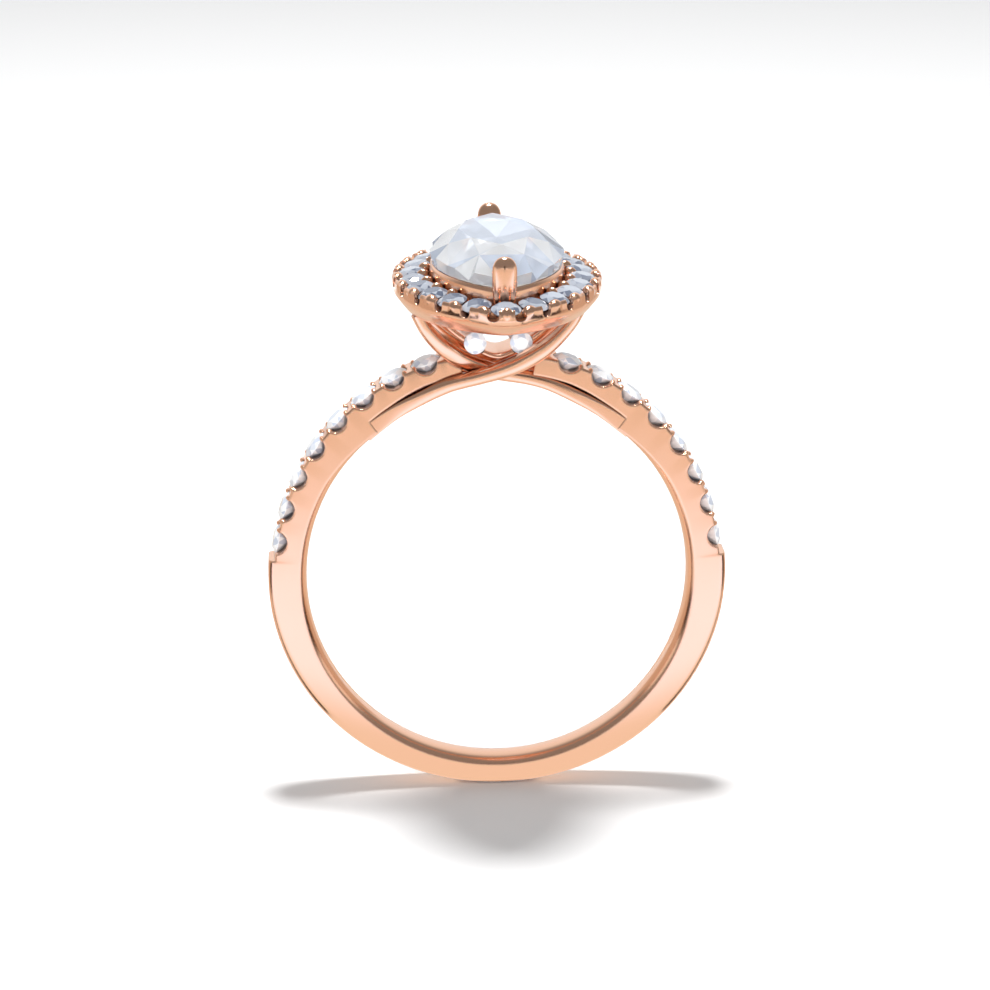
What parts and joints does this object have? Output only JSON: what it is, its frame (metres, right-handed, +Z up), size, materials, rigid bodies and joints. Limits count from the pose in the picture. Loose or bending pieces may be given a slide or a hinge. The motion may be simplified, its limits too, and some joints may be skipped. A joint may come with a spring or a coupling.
{
  "type": "engagement ring",
  "caption": "Halo engagement ring with a raised marquise stone between two claws, stone-set shoulders and crossing strands below the head.",
  "frame": {"origin": "middle of the foot of the bounding box, directly below the head", "axes": "+Z up through the head, Y along the finger, X across the band"},
  "size_m": [0.0208, 0.015, 0.0259],
  "materials": {
    "rose_gold": "high polish rose gold",
    "diamond": "faceted and polished clear stone"
  },
  "bodies": {
    "root": {"shank": "rose_gold", "strand_front_over": "rose_gold", "strand_front_under": "rose_gold", "strand_back_over": "rose_gold", "strand_back_under": "rose_gold", "gallery_cradle": "rose_gold", "halo_frame": "rose_gold", "centre_collar": "rose_gold", "prong_front": "rose_gold", "prong_back": "rose_gold", "centre_stone": "diamond", "halo_stone_01": "diamond", "halo_stone_02": "diamond", "halo_stone_03": "diamond", "halo_stone_04": "diamond", "halo_stone_05": "diamond", "halo_stone_06": "diamond", "halo_stone_07": "diamond", "halo_stone_08": "diamond", "halo_stone_09": "diamond", "halo_stone_10": "diamond", "halo_stone_11": "diamond", "halo_stone_12": "diamond", "halo_stone_13": "diamond", "halo_stone_14": "diamond", "halo_stone_15": "diamond", "halo_stone_16": "diamond", "halo_stone_17": "diamond", "halo_stone_18": "diamond", "halo_stone_19": "diamond", "halo_stone_20": "diamond", "halo_stone_21": "diamond", "halo_stone_22": "diamond", "shank_stone_left_1": "diamond", "shank_stone_left_2": "diamond", "shank_stone_left_3": "diamond", "shank_stone_left_4": "diamond", "shank_stone_left_5": "diamond", "shank_stone_left_6": "diamond", "shank_stone_left_7": "diamond", "shank_stone_left_8": "diamond", "shank_stone_right_1": "diamond", "shank_stone_right_2": "diamond", "shank_stone_right_3": "diamond", "shank_stone_right_4": "diamond", "shank_stone_right_5": "diamond", "shank_stone_right_6": "diamond", "shank_stone_right_7": "diamond", "shank_stone_right_8": "diamond", "gallery_stone_front_left": "diamond", "gallery_stone_front_right": "diamond", "gallery_stone_back_left": "diamond", "gallery_stone_back_right": "diamond"}
  },
  "joints": []
}
